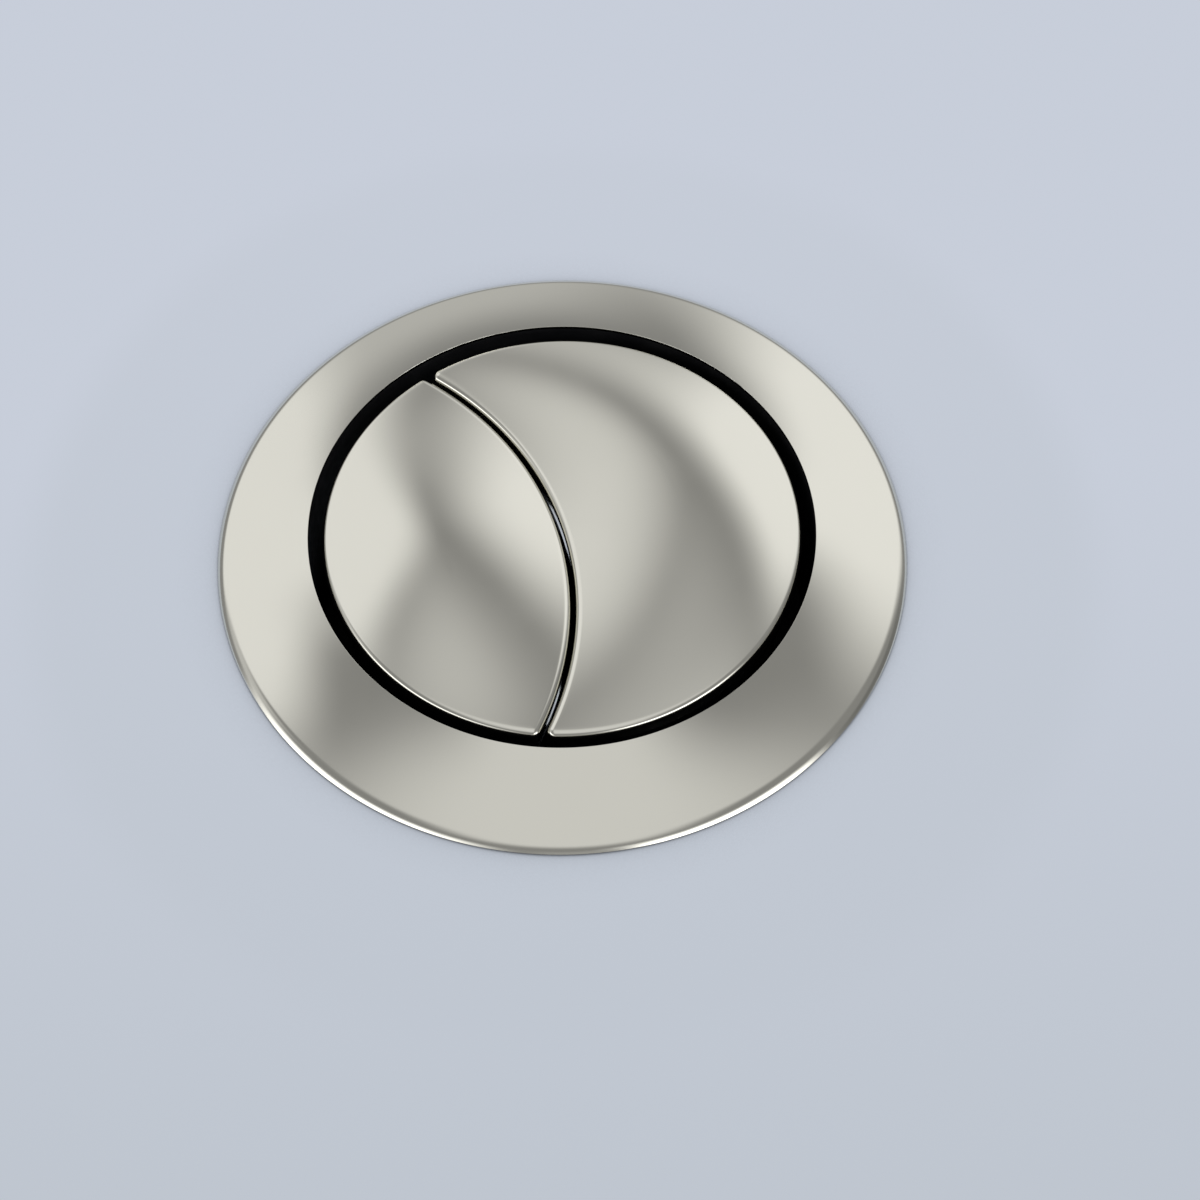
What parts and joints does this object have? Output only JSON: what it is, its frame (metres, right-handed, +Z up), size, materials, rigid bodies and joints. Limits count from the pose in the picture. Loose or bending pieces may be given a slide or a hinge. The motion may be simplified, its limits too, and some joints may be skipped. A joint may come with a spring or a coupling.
{
  "type": "dual-flush cistern pushbutton",
  "caption": "Round lid-mounted dual-flush pushbutton with two pillowed buttons in a flared ring, sprung stems and push rods below.",
  "frame": {"origin": "on the buttons' common axis, in the plane of the lid's top face", "axes": "+Z up out of the lid, +X along the line of symmetry from the half-flush button towards the full-flush button"},
  "size_m": [0.075, 0.075, 0.0782],
  "materials": {
    "satin_nickel": "satin nickel plate, fine blasted",
    "black_plastic": "moulded acetal, matte black",
    "gasket_rubber": "soft black rubber",
    "nut_plastic": "moulded polypropylene, off-white",
    "rod_plastic": "moulded acetal, natural white",
    "stainless_steel": "bright drawn stainless"
  },
  "bodies": {
    "housing": {"bezel": "satin_nickel", "housing": "black_plastic", "lid_gasket": "gasket_rubber", "friction_washer": "gasket_rubber", "fixing_nut": "nut_plastic", "guide_plate": "black_plastic", "guide_plate_screws": "stainless_steel"},
    "half_button": {"half_cap": "satin_nickel", "half_carrier": "black_plastic", "half_cap_screws": "stainless_steel", "half_stem_clip": "stainless_steel", "half_spring": "stainless_steel", "half_rod": "rod_plastic", "half_jam_nut": "rod_plastic", "half_rod_foot": "rod_plastic"},
    "full_button": {"full_cap": "satin_nickel", "full_carrier": "black_plastic", "full_cap_screws": "stainless_steel", "full_stem_clip": "stainless_steel", "full_spring": "stainless_steel", "full_rod": "rod_plastic", "full_jam_nut": "rod_plastic", "full_rod_foot": "rod_plastic"}
  },
  "joints": [
    {"name": "half_press", "type": "slide", "parent": "housing", "child": "half_button", "axis": [0, 0, -1], "range_m": [0, 0.005], "stiffness_N_per_m": 400, "springref_m": -0.006, "deforming": ["half_spring"]},
    {"name": "full_press", "type": "slide", "parent": "housing", "child": "full_button", "axis": [0, 0, -1], "range_m": [0, 0.005], "stiffness_N_per_m": 400, "springref_m": -0.006, "deforming": ["full_spring"]}
  ]
}
